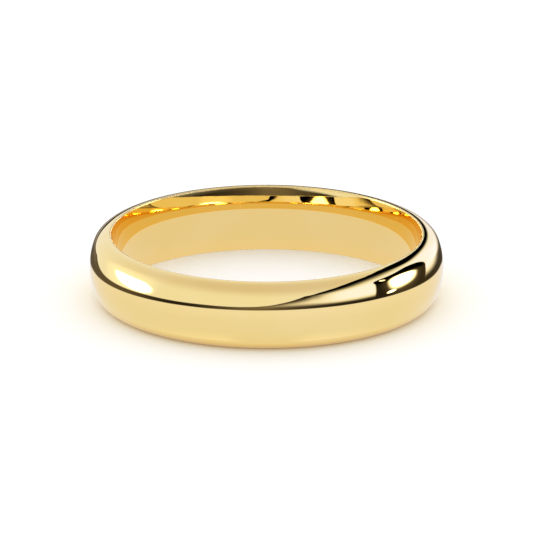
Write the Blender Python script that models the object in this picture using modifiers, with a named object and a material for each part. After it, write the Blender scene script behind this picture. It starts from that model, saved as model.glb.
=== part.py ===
"""Plain wedding band: one turned ring of yellow gold with a domed outside and an eased bore.

The band is a single closed section swept once round the finger axis. The section is built from
arcs that meet tangentially:

    crown      the broad arc of the outside, seen when the ring is worn
    shoulder   a tighter arc at each side of the crown
    land       a narrow flat at each side, which the ring rests on
    edge       a small arc that eases the land into the bore
    flare      a very broad arc on each side of the bore, so that the ring slides over a knuckle
    bore arc   the rounder arc along the middle of the bore, which touches the finger

Units are metres. +Z is the finger axis, and Z = 0 is the plane that the band rests on.
"""

from math import asin, cos, pi, radians, sin

import bmesh
import bpy

# Driving dimensions
BORE_DIAMETER = 0.0179  # the narrowest part of the finger hole: a ring size of 56 mm round the inside
BAND_WIDTH = 0.0040  # along the finger
WALL_THICKNESS = 0.0015  # from the bore to the top of the crown
CROWN_ARC = 0.0039  # radius of the outside across the band
SHOULDER_ARC = 0.0010  # radius where the crown turns down to the land
BORE_ARC = 0.0078  # radius of the middle of the bore, across the band
BORE_MIDDLE = 0.00123  # how far that arc reaches to each side of the mid-plane
FLARE_ARC = 0.0188  # radius of the bore outside it
EDGE_ARC = 0.00006  # radius where the bore turns out to the land

# How finely each stretch of the section is divided
TURNS = 96  # straight sides round the ring
CROWN_STEPS = 10
SHOULDER_STEPS = 6
BORE_STEPS = 6
FLARE_STEPS = 3
EDGE_STEPS = 3

# What follows from them
HALF_WIDTH = BAND_WIDTH / 2
BORE_RADIUS = BORE_DIAMETER / 2
CROWN_RADIUS = BORE_RADIUS + WALL_THICKNESS  # from the finger axis to the top of the crown

GOLD_COLOUR = (0.94, 0.71, 0.27, 1.0)
GOLD_ROUGHNESS = 0.06


def clear_scene():
    """Starts from nothing, so that the file holds only the band."""
    for obj in list(bpy.data.objects):
        bpy.data.objects.remove(obj, do_unlink=True)


def meeting_angle(broad, tight):
    """The angle above the mid-plane at which a tight arc takes over from a broad one.

    Both arcs share their tangent there, and the tight arc ends level at half the band's width.
    """
    return asin((HALF_WIDTH - tight) / (broad - tight))


def mirrored(centre):
    """The same centre below the mid-plane."""
    return centre[0], -centre[1]


def arc(centre, radius, start, end, steps):
    """Points (distance from the axis, height) from one angle to another, both ends included."""
    centre_r, centre_z = centre
    points = []
    for step in range(steps + 1):
        angle = start + (end - start) * step / steps
        points.append((centre_r + radius * cos(angle), centre_z + radius * sin(angle)))
    return points


def outer_arcs():
    """Centre of the upper shoulder arc, and the angle at which the crown meets it."""
    crown_ends = meeting_angle(CROWN_ARC, SHOULDER_ARC)
    reach = CROWN_ARC - SHOULDER_ARC
    return (CROWN_RADIUS - CROWN_ARC + reach * cos(crown_ends), HALF_WIDTH - SHOULDER_ARC), crown_ends


def bore_arcs():
    """Centres of the bore arc, upper flare and upper edge, and how far the first two arcs turn."""
    bore_ends = asin(BORE_MIDDLE / BORE_ARC)
    bore = (BORE_RADIUS + BORE_ARC, 0.0)
    wider = FLARE_ARC - BORE_ARC
    flare = (bore[0] + wider * cos(bore_ends), -wider * sin(bore_ends))
    edge_z = HALF_WIDTH - EDGE_ARC
    reach = FLARE_ARC - EDGE_ARC
    flare_ends = asin((edge_z - flare[1]) / reach)
    edge = (flare[0] - reach * cos(flare_ends), edge_z)
    return bore, flare, edge, bore_ends, flare_ends


def band_section():
    """The closed section, down the outside from the upper land and back up through the bore."""
    shoulder, crown_ends = outer_arcs()
    bore, flare, edge, bore_ends, flare_ends = bore_arcs()
    quarter = pi / 2
    stretches = [
        arc(shoulder, SHOULDER_ARC, quarter, crown_ends, SHOULDER_STEPS),
        arc((CROWN_RADIUS - CROWN_ARC, 0.0), CROWN_ARC, crown_ends, -crown_ends, CROWN_STEPS),
        arc(mirrored(shoulder), SHOULDER_ARC, -crown_ends, -quarter, SHOULDER_STEPS),
        arc(mirrored(edge), EDGE_ARC, -quarter, flare_ends - pi, EDGE_STEPS),
        arc(mirrored(flare), FLARE_ARC, flare_ends - pi, bore_ends - pi, FLARE_STEPS),
        arc(bore, BORE_ARC, bore_ends - pi, -bore_ends - pi, BORE_STEPS),
        arc(flare, FLARE_ARC, -bore_ends - pi, -flare_ends - pi, FLARE_STEPS),
        arc(edge, EDGE_ARC, -flare_ends - pi, -quarter - pi, EDGE_STEPS),
    ]
    section = []
    for index, stretch in enumerate(stretches):
        starts_at_a_land = index in (0, 3)  # every other stretch starts where the last one ended
        section.extend(stretch if starts_at_a_land else stretch[1:])
    return section


def gold():
    """Polished yellow gold."""
    material = bpy.data.materials.new("yellow_gold")
    material.use_nodes = True
    shader = material.node_tree.nodes["Principled BSDF"]
    shader.inputs["Base Color"].default_value = GOLD_COLOUR
    shader.inputs["Metallic"].default_value = 1.0
    shader.inputs["Roughness"].default_value = GOLD_ROUGHNESS
    material.diffuse_color = GOLD_COLOUR
    return material


def turned_band(collection):
    """The section as a loop of edges at +X, turned once round Z by a Screw modifier."""
    mesh = bpy.data.meshes.new("band")
    outline = bmesh.new()
    corners = [outline.verts.new((r, 0.0, z + HALF_WIDTH)) for r, z in band_section()]
    for here, after in zip(corners, corners[1:] + corners[:1]):
        outline.edges.new((here, after))
    outline.to_mesh(mesh)
    outline.free()

    band = bpy.data.objects.new("band", mesh)
    collection.objects.link(band)
    band.data.materials.append(gold())

    turn = band.modifiers.new("turn", "SCREW")
    turn.axis = "Z"
    turn.angle = radians(360)
    turn.steps = TURNS
    turn.render_steps = TURNS
    turn.use_merge_vertices = True
    turn.merge_threshold = 1e-6
    turn.use_smooth_shade = True
    return band


def main():
    clear_scene()
    collection = bpy.data.collections.new("wedding_band")
    bpy.context.scene.collection.children.link(collection)
    turned_band(collection)


main()
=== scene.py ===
# %% [markdown]
# # A plain gold wedding band
#
# A wedding band is the simplest piece of jewellery there is: one ring of gold, with no stone and
# no joint. All of its looks come from three things: the section that the turner gave it, the
# polish, and the room that the polish mirrors. This lesson goes through them in that order.
#
# The working model of the band is loaded first. It holds the true size and place, in metres, with
# the finger axis along Z and the table at Z = 0. Every number below starts from it.

# %% Load the working model
from math import asin, cos, degrees, pi, radians, sin

import bmesh
import bpy
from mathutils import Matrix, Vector


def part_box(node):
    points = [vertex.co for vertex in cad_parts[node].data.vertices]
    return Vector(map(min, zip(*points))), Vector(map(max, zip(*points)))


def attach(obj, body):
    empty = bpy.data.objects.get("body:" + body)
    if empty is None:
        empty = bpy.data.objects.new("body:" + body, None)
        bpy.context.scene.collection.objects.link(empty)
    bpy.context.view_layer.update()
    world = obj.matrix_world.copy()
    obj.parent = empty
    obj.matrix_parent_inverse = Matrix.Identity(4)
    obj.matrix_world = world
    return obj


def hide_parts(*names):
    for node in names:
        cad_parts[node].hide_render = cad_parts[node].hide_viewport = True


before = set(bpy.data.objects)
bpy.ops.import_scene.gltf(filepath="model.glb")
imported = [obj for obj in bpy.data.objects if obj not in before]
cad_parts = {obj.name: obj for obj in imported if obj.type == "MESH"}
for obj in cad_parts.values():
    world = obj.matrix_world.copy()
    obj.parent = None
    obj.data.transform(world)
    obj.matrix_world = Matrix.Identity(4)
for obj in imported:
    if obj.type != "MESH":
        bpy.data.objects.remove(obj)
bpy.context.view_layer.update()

band_low, band_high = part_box("band")
BAND_WIDTH = band_high.z - band_low.z
HALF_WIDTH = BAND_WIDTH / 2
CROWN_RADIUS = band_high.x  # from the finger axis to the top of the dome
MIDDLE = Vector((0.0, 0.0, band_low.z + HALF_WIDTH))
print(f"band: {2000 * CROWN_RADIUS:.2f} mm across, {1000 * BAND_WIDTH:.2f} mm wide")

# %% [markdown]
# ## Camera
#
# A small shiny thing is best seen from far off through a long lens. From close by, the near side
# of the ring would look much bigger than the far side, and whoever holds the camera would show up
# in the gold. So the camera stands about 48 outer radii away, 18 degrees above the table, and the
# long lens brings the ring back to two thirds of the picture. The ring sits a hair above the
# centre, which leaves room for its shadow.

# %% Camera
CAMERA_HEIGHT = radians(18.07)  # angle above the table
CAMERA_DISTANCE = 47.5 * CROWN_RADIUS
LENS_LENGTH = 567.5  # mm, on a 36 mm film
AIM_BELOW_MIDDLE = 0.0082 * CROWN_RADIUS


def add_camera():
    """A camera in front of the band (at -Y), tipped down at it."""
    data = bpy.data.cameras.new("camera")
    data.lens = LENS_LENGTH
    data.clip_end = 20.0
    camera = bpy.data.objects.new("camera", data)
    bpy.context.scene.collection.objects.link(camera)
    towards_camera = Vector((0.0, -cos(CAMERA_HEIGHT), sin(CAMERA_HEIGHT)))
    camera.location = MIDDLE + CAMERA_DISTANCE * towards_camera
    picture_up = Vector((0.0, sin(CAMERA_HEIGHT), cos(CAMERA_HEIGHT)))
    aim = MIDDLE - AIM_BELOW_MIDDLE * picture_up
    camera.rotation_euler = (aim - camera.location).to_track_quat("-Z", "Y").to_euler()
    bpy.context.scene.camera = camera
    return camera


camera = add_camera()
print(f"camera: {camera.location.length:.3f} m from the band's foot, {LENS_LENGTH:.0f} mm lens")

# %% [markdown]
# ## The section
#
# Cut the band through and the cut face is a flat loaf: a broad arc on the outside (the crown),
# a tighter one at each side (the shoulder) which runs down to a narrow flat, and very broad
# arcs on the inside, which jewellers call a comfort or court bore. A bezier curve could draw it,
# but a bulge of a hundredth of a millimetre shows in a mirror finish. A turner's tools leave true
# arcs that share their tangents, so the section is made of arcs here too. Each pair meets where
# both have the same tangent.

# %% Section of the band
CROWN_ARC = 0.0039
SHOULDER_ARC = 0.00100
BORE_ARC = 0.0078
BORE_SIDE_ARC = 0.0188
BORE_MIDDLE = 0.00123  # half the width of the middle arc of the bore
BORE_EDGE_ARC = 0.00006
WALL_THICKNESS = 0.00150
FINEST_TURN = radians(0.75)  # the most that the surface turns between two points of the section
LONGEST_STEP = 0.00006  # and the furthest that they lie apart
FEWEST_STEPS = 4


def arc(centre, radius, start, end):
    """Points (distance from the axis, height) along an arc, close enough for a mirror finish."""
    turn = abs(end - start)
    steps = max(FEWEST_STEPS, round(turn / FINEST_TURN), round(turn * radius / LONGEST_STEP))
    angles = [start + (end - start) * step / steps for step in range(steps + 1)]
    return [(centre[0] + radius * cos(angle), centre[1] + radius * sin(angle)) for angle in angles]


def meeting_angle(broad, tight):
    """Where a tight arc that ends level at half the width takes over from a broad one."""
    return asin((HALF_WIDTH - tight) / (broad - tight))


def upper_half_section():
    """The section from the top of the crown over the upper side to the middle of the bore."""
    crown_ends = meeting_angle(CROWN_ARC, SHOULDER_ARC)
    crown_centre = CROWN_RADIUS - CROWN_ARC
    shoulder_centre = (
        crown_centre + (CROWN_ARC - SHOULDER_ARC) * cos(crown_ends),
        HALF_WIDTH - SHOULDER_ARC,
    )
    middle_ends = asin(BORE_MIDDLE / BORE_ARC)
    bore_centre = CROWN_RADIUS - WALL_THICKNESS + BORE_ARC
    wider = BORE_SIDE_ARC - BORE_ARC
    side_centre = (bore_centre + wider * cos(middle_ends), -wider * sin(middle_ends))
    edge_z = HALF_WIDTH - BORE_EDGE_ARC
    side_reach = BORE_SIDE_ARC - BORE_EDGE_ARC
    side_ends = asin((edge_z - side_centre[1]) / side_reach)
    edge_centre = (side_centre[0] - side_reach * cos(side_ends), edge_z)
    points = arc((crown_centre, 0.0), CROWN_ARC, 0.0, crown_ends)
    points += arc(shoulder_centre, SHOULDER_ARC, crown_ends, pi / 2)[1:]
    points += arc(edge_centre, BORE_EDGE_ARC, pi / 2, pi - side_ends)
    points += arc(side_centre, BORE_SIDE_ARC, pi - side_ends, pi - middle_ends)[1:]
    points += arc((bore_centre, 0.0), BORE_ARC, pi - middle_ends, pi)[1:]
    return points


def band_section():
    """The whole closed section: the upper half, and its mirror image back round the lower side."""
    upper = upper_half_section()
    lower = [(r, -z) for r, z in upper[-2:0:-1]]
    return upper + lower


section = band_section()
print(f"section: {len(section)} points, bore {2000 * min(r for r, z in section):.2f} mm")

# %% [markdown]
# ## The band
#
# The real band is turned on a lathe from one blank, so the mesh is turned as well: the section is
# drawn once and copied round the finger axis, and each copy is joined to the next by quads. The
# Screw modifier does this too, but building the rings directly gives control over how many there
# are, and the last one joins the first without a seam. The shading is smooth, and the section has
# so many points that the smooth shading follows the true surface.

# %% Turn the band
TURNS = 480


def turned_band(name, outline):
    """A closed ring mesh: the outline copied round Z, and quads between neighbours."""
    shape = bmesh.new()
    rings = []
    for turn in range(TURNS):
        angle = 2 * pi * turn / TURNS
        ring = [
            shape.verts.new((r * cos(angle), r * sin(angle), MIDDLE.z + z)) for r, z in outline
        ]
        rings.append(ring)
    count = len(outline)
    for turn, ring in enumerate(rings):
        following = rings[(turn + 1) % TURNS]
        for here in range(count):
            there = (here + 1) % count
            face = shape.faces.new((ring[here], following[here], following[there], ring[there]))
            face.smooth = True
    bmesh.ops.recalc_face_normals(shape, faces=shape.faces)
    mesh = bpy.data.meshes.new(name)
    shape.to_mesh(mesh)
    shape.free()
    band = bpy.data.objects.new(name, mesh)
    bpy.context.scene.collection.objects.link(band)
    return band


gold_band = turned_band("gold_band", section)
print(f"gold band: {len(gold_band.data.polygons)} faces")

# %% [markdown]
# ## Small helpers for node materials
#
# The gold and the studio are both built from nodes. Wiring each node by hand would bury the idea
# in bookkeeping, so three short helpers do it: one adds a node and fills its inputs, one does a
# sum, and one makes a soft step, which is 0 before a value and 1 after another.

# %% Node helpers


def add_node(tree, kind, inputs=None, **settings):
    """A node with its settings and inputs filled in. An input is a number, a vector or a socket."""
    node = tree.nodes.new(kind)
    for name, value in settings.items():
        setattr(node, name, value)
    for key, value in (inputs or {}).items():
        if isinstance(value, bpy.types.NodeSocket):
            tree.links.new(value, node.inputs[key])
        else:
            node.inputs[key].default_value = value
    return node


def calculate(tree, operation, *values):
    """The result of one Math node."""
    inputs = dict(enumerate(values))
    return add_node(tree, "ShaderNodeMath", inputs, operation=operation).outputs[0]


def soft_step(tree, value, start, end):
    """0 where value is before start, 1 where it is past end, and a smooth rise between."""
    inputs = {"Value": value, "From Min": start, "From Max": end}
    node = add_node(tree, "ShaderNodeMapRange", inputs, interpolation_type="SMOOTHSTEP")
    return node.outputs[0]


def blend_colours(tree, share, first, second):
    """first where share is 0, second where it is 1."""
    node = tree.nodes.new("ShaderNodeMix")
    node.data_type = "RGBA"
    for socket, value in ((node.inputs[0], share), (node.inputs[6], first), (node.inputs[7], second)):
        if isinstance(value, bpy.types.NodeSocket):
            tree.links.new(value, socket)
        else:
            socket.default_value = value
    return node.outputs[2]


def colour_ramp(tree, value, stops):
    """The colour at value along a row of (position, colour) stops between 0 and 1."""
    node = add_node(tree, "ShaderNodeValToRGB", {0: value})
    row = node.color_ramp.elements
    row.remove(row[1])
    row[0].position = stops[0][0]
    row[0].color = (*stops[0][1], 1.0)
    for position, colour in stops[1:]:
        row.new(position).color = (*colour, 1.0)
    return node.outputs[0]


# %% [markdown]
# ## Gold
#
# Yellow gold of 14 to 18 carat, polished on felt. A metal has no colour of its own under its
# surface: all of the light is reflected, tinted by the base colour, so Metallic is 1. The
# polish is not perfect. The buff leaves hair-fine lines round the band, and handling leaves
# soft cloudy patches. Both are far too shallow to see as lines, but they take the glassy look off
# the highlights. They are noise patterns here: one stretched round the band, one cloudy. A buff
# hardly reaches the thin edge of the bore, so that edge is duller, which keeps it from glittering.

# %% The marks in the polish
BUFF_LINES_PER_METRE = 14000
CHANGES_ALONG_A_LINE = 60  # in a metre
CLOUDS_PER_METRE = 260
HAZE_STARTS = 0.40  # the cloud value where the haze starts, and where it is full
HAZE_FULL = 0.70
EDGE_FADE = 0.00003  # how far the duller edge of the bore runs out over the flat land
LAND_LEVEL = HALF_WIDTH - 1e-9  # points above this are on the flat land
LAND_ENDS = max(r for r, z in section if z > LAND_LEVEL)


def buff_lines(tree, place):
    """Noise stretched round the band, as a buffing wheel leaves it."""
    stretch = (CHANGES_ALONG_A_LINE, CHANGES_ALONG_A_LINE, BUFF_LINES_PER_METRE)
    stretched = add_node(tree, "ShaderNodeVectorMath", {0: place, 1: stretch}, operation="MULTIPLY")
    inputs = {"Vector": stretched.outputs[0], "Scale": 1.0, "Detail": 3.0}
    return add_node(tree, "ShaderNodeTexNoise", inputs).outputs[0]


def handling_haze(tree, place):
    """Cloudy patches: 0 where the polish is clean, 1 where fingers have dulled it."""
    inputs = {"Vector": place, "Scale": CLOUDS_PER_METRE, "Detail": 2.0}
    clouds = add_node(tree, "ShaderNodeTexNoise", inputs).outputs[0]
    return soft_step(tree, clouds, HAZE_STARTS, HAZE_FULL)


def bore_edge(tree, place):
    """1 on the thin edge between the bore and the flat land at each side, 0 elsewhere."""
    up = add_node(tree, "ShaderNodeSeparateXYZ", {0: place}).outputs[2]
    from_middle = calculate(tree, "ABSOLUTE", calculate(tree, "SUBTRACT", up, MIDDLE.z))
    edge_starts = HALF_WIDTH - 1.8 * BORE_EDGE_ARC
    near_side = soft_step(tree, from_middle, edge_starts, HALF_WIDTH - BORE_EDGE_ARC)
    level = add_node(tree, "ShaderNodeVectorMath", {0: place, 1: (1.0, 1.0, 0.0)}, operation="MULTIPLY")
    from_axis = add_node(tree, "ShaderNodeVectorMath", {0: level.outputs[0]}, operation="LENGTH")
    within_land = soft_step(tree, from_axis.outputs["Value"], LAND_ENDS + EDGE_FADE, LAND_ENDS)
    return calculate(tree, "MULTIPLY", near_side, within_land)


print(f"flat land: ends {1000 * LAND_ENDS:.3f} mm from the axis")

# %% Gold
GOLD = (0.94, 0.71, 0.27, 1.0)
GOLD_WORN = (0.945, 0.725, 0.30, 1.0)
POLISH = 0.012  # the roughness of clean gold, and what each mark adds to it
LINES_ADD = 0.008
HAZE_ADDS = 0.012
EDGE_ADDS = 0.25
LINE_DEPTH = 1e-6  # metres
LINE_STRENGTH = 0.15


def polished_gold():
    material = bpy.data.materials.new("polished yellow gold")
    material.use_nodes = True
    tree = material.node_tree
    shader = tree.nodes["Principled BSDF"]
    shader.inputs["Metallic"].default_value = 1.0
    place = add_node(tree, "ShaderNodeTexCoord").outputs["Object"]
    lines = buff_lines(tree, place)
    haze = handling_haze(tree, place)
    from_lines = calculate(tree, "MULTIPLY", lines, LINES_ADD)
    from_haze = calculate(tree, "MULTIPLY_ADD", haze, HAZE_ADDS, POLISH)
    fine = calculate(tree, "ADD", from_lines, from_haze)
    rough = calculate(tree, "MULTIPLY_ADD", bore_edge(tree, place), EDGE_ADDS, fine)
    tree.links.new(rough, shader.inputs["Roughness"])
    tree.links.new(blend_colours(tree, haze, GOLD, GOLD_WORN), shader.inputs["Base Color"])
    relief = {"Height": lines, "Strength": LINE_STRENGTH, "Distance": LINE_DEPTH}
    tree.links.new(add_node(tree, "ShaderNodeBump", relief).outputs[0], shader.inputs["Normal"])
    return material


gold_band.data.materials.append(polished_gold())
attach(gold_band, "root")
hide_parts("band")
print("gold band: polished, and stands for the working model's band")

# %% [markdown]
# ## The studio in the gold
#
# Polished gold is a mirror, so most of what the eye reads as gold is the room round it. Jewellery
# is lit in a white tent, and a tent alone makes it look flat and chalky. So a few dark things are
# put back on purpose: a thin dark gap between the table sweep and the tent draws a crisp line
# round the crown, and a black card on one side gives the dark sweep that says "metal". Small
# bright lights make the white sparks.
#
# These could be real cards and lamps round the ring. They would also have to be kept out of
# sight from every other side. Painting them on the world's far sphere needs no
# hiding, and each edge can be soft or sharp at will. The place of a thing on the sphere is given
# as a compass bearing (0 is the camera's side, +90 is the right) and a height, both in degrees.

# %% The studio's bearings and heights
TO_DEGREES = degrees(1)

world = bpy.data.worlds.new("jewellery tent")
bpy.context.scene.world = world
world.use_nodes = True
tree = world.node_tree
direction = add_node(tree, "ShaderNodeTexCoord").outputs["Generated"]
along = add_node(tree, "ShaderNodeSeparateXYZ", {0: direction}).outputs
to_camera = calculate(tree, "MULTIPLY", along[1], -1.0)
bearing = calculate(tree, "MULTIPLY", calculate(tree, "ARCTAN2", along[0], to_camera), TO_DEGREES)
height = calculate(tree, "MULTIPLY", calculate(tree, "ARCSINE", along[2]), TO_DEGREES)
print("studio: bearings and heights are in degrees")

# %% [markdown]
# Four helpers paint on the sphere. One gives a value that changes with the bearing, one gives a
# round-cornered patch, one makes a colour brighter or darker, and one tells how far a direction
# leans towards an axis.

# %% Helpers to paint the studio


def by_bearing(points, lowest, highest):
    """A value that changes with the bearing along a smooth curve through (bearing, value) points.

    The curve node works between 0 and 1, which stand for the lowest and the highest value.
    """
    node = tree.nodes.new("ShaderNodeFloatCurve")
    curve = node.mapping.curves[0]
    while len(curve.points) < len(points):
        curve.points.new(0.5, 0.5)
    for point, (angle, value) in zip(curve.points, points):
        point.location = ((angle + 180) / 360, (value - lowest) / (highest - lowest))
        point.handle_type = "AUTO_CLAMPED"
    node.mapping.update()
    tree.links.new(calculate(tree, "MULTIPLY_ADD", bearing, 1 / 360, 0.5), node.inputs["Value"])
    return calculate(tree, "MULTIPLY_ADD", node.outputs[0], highest - lowest, lowest)


def panel(centre, half_size, softness, squareness, slant=0.0, droop=0.0):
    """1 inside a round-cornered patch of the sphere, 0 outside, with edges that soft.

    Its centre is a bearing and a height, and its half size is a half width and a half height, in
    degrees. A slant leans its upright sides, and a droop bends its two ends down.
    """
    leaning = calculate(tree, "MULTIPLY_ADD", height, -slant, bearing)
    across = calculate(tree, "SUBTRACT", leaning, centre[0] - slant * centre[1])
    bent = calculate(tree, "MULTIPLY", calculate(tree, "MULTIPLY", across, across), droop)
    up = calculate(tree, "SUBTRACT", calculate(tree, "ADD", height, bent), centre[1])
    parts = []
    for value, half in zip((across, up), half_size):
        share = calculate(tree, "DIVIDE", calculate(tree, "ABSOLUTE", value), half)
        parts.append(calculate(tree, "POWER", share, squareness))
    return soft_step(tree, calculate(tree, "ADD", *parts), 1.0 + softness, 1.0 - softness)


def with_faint_edge(patch):
    """The same patch with a longer, fainter edge, so that a very bright lamp doesn't look cut out."""
    return calculate(tree, "POWER", patch, 3.0)


def scaled(colour, factor):
    """The colour, that many times as bright."""
    inputs = {0: colour, "Scale": factor}
    return add_node(tree, "ShaderNodeVectorMath", inputs, operation="SCALE").outputs[0]


def lean_towards(axis):
    """1 for the direction of the axis, 0 for one square to it, and -1 for the opposite one."""
    inputs = {0: direction, 1: axis}
    node = add_node(tree, "ShaderNodeVectorMath", inputs, operation="DOT_PRODUCT")
    return node.outputs["Value"]


# %% [markdown]
# ### The dark gap
#
# The dark gap between the table sweep and the tent runs all round, a little tipped: in front its
# lower edge is at height 0, and it drops 17 degrees on the way to the back. A direction's
# height above a tipped plane is the arcsine of its dot product with the plane's own upright. A
# short curve lets the gap sag a little more behind the ring, so that it reaches the outline.

# %% The gap
GAP_UPRIGHT = (-0.0196, 0.1363, 0.9905)
GAP_BELOW_PLANE = 8.0  # degrees
GAP_DROP_BEHIND = [(-180, 1.6), (-165, 0.8), (-145, 0), (150, 0), (165, 0.8), (180, 1.6)]

lean_angle = calculate(tree, "MULTIPLY", calculate(tree, "ARCSINE", lean_towards(GAP_UPRIGHT)), TO_DEGREES)
gap_drop = by_bearing(GAP_DROP_BEHIND, 0, 10)
above_gap = calculate(tree, "ADD", calculate(tree, "ADD", lean_angle, GAP_BELOW_PLANE), gap_drop)
print(f"gap: {GAP_BELOW_PLANE:.0f} degrees below its plane")

# %% [markdown]
# ### The black card
#
# The card's upper edge climbs from low on the left to its highest on the right, then falls
# behind the ring. That climb is what draws the dark sweep across the front. Only the bearings
# where the edge changes its course are given, and the curve joins them smoothly.

# %% The upper edge of the black card
CARD_TOP = [
    (-180, 14), (-172, 9.5), (-163, 3), (-150, -5), (-130, -8.5), (-115, -7.5), (-75, -1.7),
    (-45, 2.3), (-12, 5.5), (0, 8), (10, 12), (20, 17.5), (30, 25), (40, 37), (60, 50.5),
    (80, 57.5), (105, 60), (140, 54), (150, 49.5), (160, 43.5), (166, 37.5), (171, 31.5),
    (174, 26), (177, 19.5), (180, 14),
]
card_top = by_bearing(CARD_TOP, -20, 70)
below_card_top = calculate(tree, "SUBTRACT", card_top, height)
print(f"card: up to {max(top for _, top in CARD_TOP)} degrees high")

# %% [markdown]
# Inside the black card stands a bright panel. Its light spills onto the card, so the card
# is black at its outer edge and grows lighter inwards. Two curves say how far below the card's
# edge the spill starts and ends, and a third says how bright the panel is at that bearing. The
# spill fades again where the card comes down to the gap.

# %% The light on the card
SPILL_STARTS = [
    (-180, 6), (-150, 1.6), (0, 0.8), (10, 1.2), (20, 2.2), (30, 3.4), (42, 6.0), (60, 6),
    (90, 4.6), (135, 5), (155, 12), (180, 12),
]
SPILL_ENDS = [
    (-180, 16), (-150, 7), (0, 3.5), (10, 5.2), (20, 9.6), (30, 14.9), (42, 28), (60, 30.6),
    (90, 26.3), (140, 24), (155, 22), (180, 22),
]
PANEL_LIGHT = [
    (-180, 0.4), (0, 0.3), (18, 0.42), (30, 0.52), (40, 0.72), (60, 1.0), (140, 1.0),
    (160, 0.78), (180, 0.45),
]
GAP_SHADE_STARTS = 3.4  # degrees above the gap's lower edge
GAP_SHADE_ENDS = [(-180, 28), (-160, 24), (-140, 11), (130, 11), (155, 20), (180, 28)]

spill = soft_step(tree, below_card_top, by_bearing(SPILL_STARTS, 0, 32), by_bearing(SPILL_ENDS, 0, 32))
over_gap = soft_step(tree, above_gap, GAP_SHADE_STARTS, by_bearing(GAP_SHADE_ENDS, 0, 30))
spill_over_gap = calculate(tree, "MULTIPLY", spill, over_gap)
card_light = calculate(tree, "MULTIPLY", spill_over_gap, by_bearing(PANEL_LIGHT, 0, 1.2))
print(f"light on the card: starts {GAP_SHADE_STARTS} degrees above the gap")

# %% [markdown]
# ### Lamps
#
# In front of the bright panel hangs the black frame of a lamp. The lamp in it is the brightest
# thing on that side, with a smaller one below it, a spark at the frame's corner and a faint warm
# halo on the frame. A wide lamp hangs on the left, in a soft glow. Light that has met the gold
# three times is deep yellow, because each meeting takes blue out of it. The lamps are brighter to
# such light, which keeps the small flecks inside the bore pale.

# %% Lamps
LAMP_LEVEL = 7.0
LAMP_LEVEL_DEEP = 24.0
MEETINGS_BEFORE_DEEP = 2.5

ray = add_node(tree, "ShaderNodeLightPath").outputs
deep = calculate(tree, "GREATER_THAN", ray["Glossy Depth"], MEETINGS_BEFORE_DEEP)
lamp_level = calculate(tree, "MULTIPLY_ADD", deep, LAMP_LEVEL_DEEP - LAMP_LEVEL, LAMP_LEVEL)

lamp_frame = panel((102.8, 12.8), (26.6, 24.6), 0.15, 5.0, slant=0.20)
lamp = with_faint_edge(panel((101.0, 12.0), (14.4, 13.0), 0.65, 2.1, droop=0.02))
small_lamp = with_faint_edge(panel((87.5, -1.0), (4.4, 1.5), 0.7, 2.0))
lamp_halo = panel((101, 9), (17, 15), 0.9, 2.0)
spark = panel((88.5, 28.5), (2.2, 3.2), 0.5, 2.0)
left_lamp = with_faint_edge(panel((-97.5, 4.6), (18.6, 8.1), 0.55, 2.2))
left_glow = panel((-104, 12), (22, 26), 0.98, 2.0)
print("lamps: one wide on the left, one in a frame on the right with a small one below it")

# %% [markdown]
# The card is coloured by the light that falls on it, from black through cool white to a blue
# white. The blue is there because gold takes blue away, and a pale reflection needs more of it.
# The gap's own faint brown light is added, and the halo, the spark and the lamps are laid over.

# %% The card and its lamps
CARD_COLOURS = [
    (0.0, (0.0, 0.0, 0.0)), (0.28, (0.50, 0.50, 0.56)), (0.5, (0.93, 0.97, 1.15)),
    (0.75, (1.02, 1.12, 1.60)), (1.0, (1.06, 1.25, 2.25)),
]
GAP_COLOUR = (1.15, 0.95, 0.75)
GAP_LIGHT = [
    (-180, 0.2), (-173, 0.15), (-165, 0.1), (-150, 0.1), (-110, 0.1), (-60, 0.02), (-30, 0.07),
    (-3, 0.15), (8, 0.1), (30, 0.04), (75, 0.02), (130, 0.04), (162, 0.06), (173, 0.12), (180, 0.2),
]
GAP_LIGHT_GONE = 26.0  # degrees above the gap's lower edge
GAP_LIGHT_FULL = 12.0
HALO_COLOUR = (1.2, 1.0, 0.8, 1.0)
HALO_SHARE = 0.07
SPARK_COLOUR = (3.0, 3.0, 3.0, 1.0)

off_frame = calculate(tree, "SUBTRACT", 1.0, lamp_frame)
card = colour_ramp(tree, calculate(tree, "MULTIPLY", card_light, off_frame), CARD_COLOURS)
near_gap = soft_step(tree, above_gap, GAP_LIGHT_GONE, GAP_LIGHT_FULL)
gap_light = calculate(tree, "MULTIPLY", by_bearing(GAP_LIGHT, 0, 1), near_gap)
gap = scaled(GAP_COLOUR, gap_light)
card = add_node(tree, "ShaderNodeVectorMath", {0: card, 1: gap}, operation="ADD").outputs[0]
card = blend_colours(tree, calculate(tree, "MULTIPLY", lamp_halo, HALO_SHARE), card, HALO_COLOUR)
card = blend_colours(tree, spark, card, SPARK_COLOUR)
card = blend_colours(tree, calculate(tree, "MAXIMUM", lamp, small_lamp), card, lamp_level)
print(f"card: {len(CARD_COLOURS)} steps from black to blue white")

# %% [markdown]
# ### Tent and table sweep
#
# Everything that the gold mirrors is put together from the far side to the near: the tent, then
# the card in front of it, then the table sweep below the gap. The tent greys towards its top,
# and the sweep turns warmer and darker towards the ring's own foot, with a little more light
# close by on the left and the right. The edges between them take about one degree.

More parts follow.
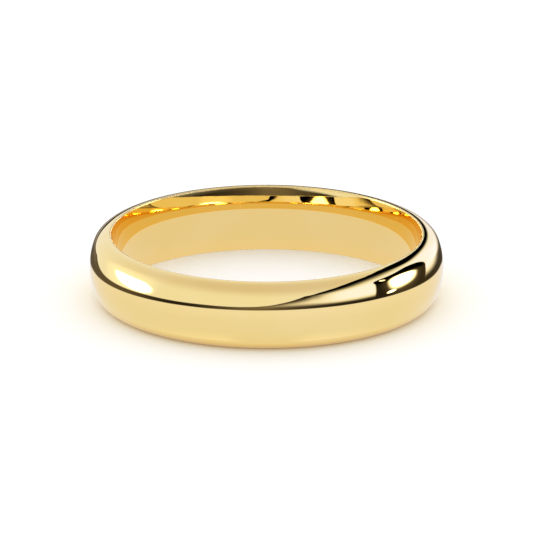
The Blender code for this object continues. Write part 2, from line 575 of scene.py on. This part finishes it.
# %% Put the mirrored studio together
TENT_LOW = (0.95, 1.0, 1.16, 1.0)
TENT_TOP = (0.775, 0.735, 0.79, 1.0)
TENT_GREYS_FROM = 12  # degrees high
TENT_GREY_AT = 76
LEFT_GLOW = 0.25
SWEEP_COLOURS = [
    (0.08, (0.955, 0.970, 1.130)), (0.24, (0.910, 0.917, 1.030)), (0.46, (0.900, 0.907, 0.986)),
    (0.64, (0.893, 0.879, 0.897)), (0.80, (0.870, 0.820, 0.780)), (1.00, (0.840, 0.760, 0.660)),
]
AT_SIDE = [
    (-180, 0.0), (-120, 1.0), (-45, 1.0), (-15, 0.0), (15, 0.0), (45, 1.0), (120, 1.0), (180, 0.0),
]
CLOSE_GLOW = 0.18
CLOSE_GLOW_FROM = -38  # degrees high
CLOSE_GLOW_FULL = -66
EDGE_FROM = -0.3  # where the edge of the card and of the gap starts and ends, in degrees
EDGE_TO = 0.6

tent_colour = blend_colours(
    tree, soft_step(tree, height, TENT_GREYS_FROM, TENT_GREY_AT), TENT_LOW, TENT_TOP
)
tent_light = calculate(tree, "MULTIPLY_ADD", left_glow, LEFT_GLOW, 1.0)
tent_light = calculate(tree, "MULTIPLY_ADD", left_lamp, lamp_level, tent_light)
tent = scaled(tent_colour, tent_light)
upper_studio = blend_colours(tree, soft_step(tree, below_card_top, EDGE_FROM, EDGE_TO), tent, card)

sweep = colour_ramp(tree, calculate(tree, "MULTIPLY", height, -1 / 90), SWEEP_COLOURS)
at_side = by_bearing(AT_SIDE, 0, 1)
close_by = soft_step(tree, height, CLOSE_GLOW_FROM, CLOSE_GLOW_FULL)
close_glow = calculate(tree, "MULTIPLY", at_side, close_by)
sweep = scaled(sweep, calculate(tree, "MULTIPLY_ADD", close_glow, CLOSE_GLOW, 1.0))
studio = blend_colours(tree, soft_step(tree, above_gap, EDGE_FROM, EDGE_TO), sweep, upper_studio)
print(f"mirrored studio: {len(tree.nodes)} nodes")

# %% [markdown]
# ### Light on the table
#
# The cards that look right in the gold would light the table badly: the black card would throw
# a grey half-shadow. So the table gets light of its own. Rays that leave the table and
# reach the sphere find a pale dome, brighter behind the ring and at both sides. Rays that leave
# the table and meet the gold first find a glint instead, brighter at the sides, and bring that
# light back to the table as a warm rim. The Light Path node tells the kinds of ray apart: a
# Diffuse Depth above nothing means that the ray has left the table. The camera itself sees plain
# white behind the ring.
#
# The renderer likes to aim light rays at the bright spots of the sphere. It can't know that they
# look different from the table, so that aiming is turned off.

# %% Light on the table
GLINT_AT_SIDES = [
    (-180, 0.9), (-130, 1.5), (-105, 1.9), (-75, 1.9), (-55, 1.6), (-39, 1.3), (-20, 1.1), (0, 1.0),
    (20, 1.1), (39, 1.3), (55, 1.6), (75, 1.9), (105, 1.9), (130, 1.5), (180, 0.9),
]
GLINT_BELOW = (0.87, 0.87, 0.87, 1.0)
GLINT_FROM = -15  # degrees high
GLINT_FULL = 8
BEHIND_AND_ABOVE = (0.0, 0.77, 0.64)
DOME_LEVEL = 0.87  # in front, and what is added behind and at the sides
DOME_BEHIND = 0.36
DOME_AT_SIDES = 0.26
BACKGROUND = (1.05, 1.05, 1.05, 1.0)

side_glint = by_bearing(GLINT_AT_SIDES, 0, 4)
glint = blend_colours(tree, soft_step(tree, height, GLINT_FROM, GLINT_FULL), GLINT_BELOW, side_glint)
behind = soft_step(tree, lean_towards(BEHIND_AND_ABOVE), 0.0, 1.0)
dome = calculate(tree, "MULTIPLY_ADD", behind, DOME_BEHIND, DOME_LEVEL)
dome = calculate(tree, "MULTIPLY_ADD", at_side, DOME_AT_SIDES, dome)
table_light = blend_colours(tree, ray["Is Diffuse Ray"], glint, dome)
from_table = calculate(tree, "GREATER_THAN", ray["Diffuse Depth"], 0.5)
lit = blend_colours(tree, from_table, studio, table_light)
seen = blend_colours(tree, ray["Is Camera Ray"], lit, BACKGROUND)
tree.links.new(seen, tree.nodes["Background"].inputs["Color"])
world.cycles.sampling_method = "NONE"
print(f"whole studio: {len(tree.nodes)} nodes")

# %% [markdown]
# ## Table
#
# The ring rests on a pale, matt sheet. The camera sees that sheet, with the soft shadow under the
# ring, but the gold doesn't: far from the ring, the painted sweep is the table in the gold. Close
# by, the painting can't work, because it doesn't know where the ring stands. So a second disc, as
# wide as the ring, is there for the gold alone. The table's light and shade are painted on it as a
# glow: pale inside the bore, a painted brown shadow where the ring's foot hides the light, and pale
# again further out.
#
# A sheet could be a square plane as well. A disc has the round outline that the glow needs, and
# one face is enough for something flat.

# %% Table
TABLE_RADIUS = 1.2
DISC_SIDES = 96
# painted light and shade of the table close by: pale in the bore, a painted brown shadow under the foot
PAINTED_CLOSE_TABLE_COLOURS = [  # by the distance from the axis, as a share of the outer radius
    (0.70, (0.855, 0.825, 0.845)), (0.884, (0.900, 0.825, 0.780)), (0.886, (0.40, 0.25, 0.16)),
    (0.905, (0.52, 0.38, 0.28)), (0.92, (0.64, 0.51, 0.40)), (0.945, (0.77, 0.66, 0.54)),
    (0.975, (0.88, 0.84, 0.80)), (1.00, (0.89, 0.875, 0.89)),
]


def add_disc(name, radius, material):
    """A flat disc at the foot of the band, which belongs to the stage."""
    mesh = bpy.data.meshes.new(name)
    shape = bmesh.new()
    bmesh.ops.create_circle(shape, cap_ends=True, segments=DISC_SIDES, radius=radius)
    shape.to_mesh(mesh)
    shape.free()
    mesh.materials.append(material)
    disc = bpy.data.objects.new(name, mesh)
    bpy.context.scene.collection.objects.link(disc)
    disc.location.z = band_low.z
    return disc


def pale_sheet():
    """Matt and nearly white, without a shine."""
    material = bpy.data.materials.new("pale sheet")
    material.use_nodes = True
    shader = material.node_tree.nodes["Principled BSDF"]
    shader.inputs["Base Color"].default_value = (0.90, 0.90, 0.90, 1.0)
    shader.inputs["Roughness"].default_value = 0.9
    shader.inputs["Specular IOR Level"].default_value = 0.0
    return material


def painted_close_table():
    """The table's light and shade under and inside the band, painted as a glow by the distance from the
    axis.
    """
    material = bpy.data.materials.new("painted table shade close by")
    material.use_nodes = True
    tree = material.node_tree
    tree.nodes.clear()
    place = add_node(tree, "ShaderNodeTexCoord").outputs["Object"]
    distance = add_node(tree, "ShaderNodeVectorMath", {0: place}, operation="LENGTH").outputs["Value"]
    share = calculate(tree, "DIVIDE", distance, CROWN_RADIUS)
    glow = add_node(tree, "ShaderNodeEmission", {"Color": colour_ramp(tree, share, PAINTED_CLOSE_TABLE_COLOURS)})
    add_node(tree, "ShaderNodeOutputMaterial", {"Surface": glow.outputs[0]})
    return material


table = add_disc("table", TABLE_RADIUS, pale_sheet())
table.visible_glossy = False
# a glowing disc that only the gold sees, with the table's shade painted on it
painted_table_close_by = add_disc("painted_table_close_by", CROWN_RADIUS, painted_close_table())
painted_table_close_by.visible_camera = False
painted_table_close_by.visible_diffuse = False
painted_table_close_by.visible_shadow = False
print(f"table: {TABLE_RADIUS} m, with a disc of {1000 * CROWN_RADIUS:.2f} mm for the gold alone")

# %% [markdown]
# ## Colours and bounces
#
# The Standard view keeps the gold's own colour in the highlights. Inside the bore, light goes to
# and fro between the walls, and a path that is cut short leaves a black sliver at the two inner
# ends, so the gold may mirror itself up to 12 times.

# %% Colours and bounces
MOST_MIRRORINGS = 12
bpy.context.scene.view_settings.view_transform = "Standard"
bpy.context.scene.cycles.glossy_bounces = MOST_MIRRORINGS
print(f"light may meet the gold {MOST_MIRRORINGS} times")
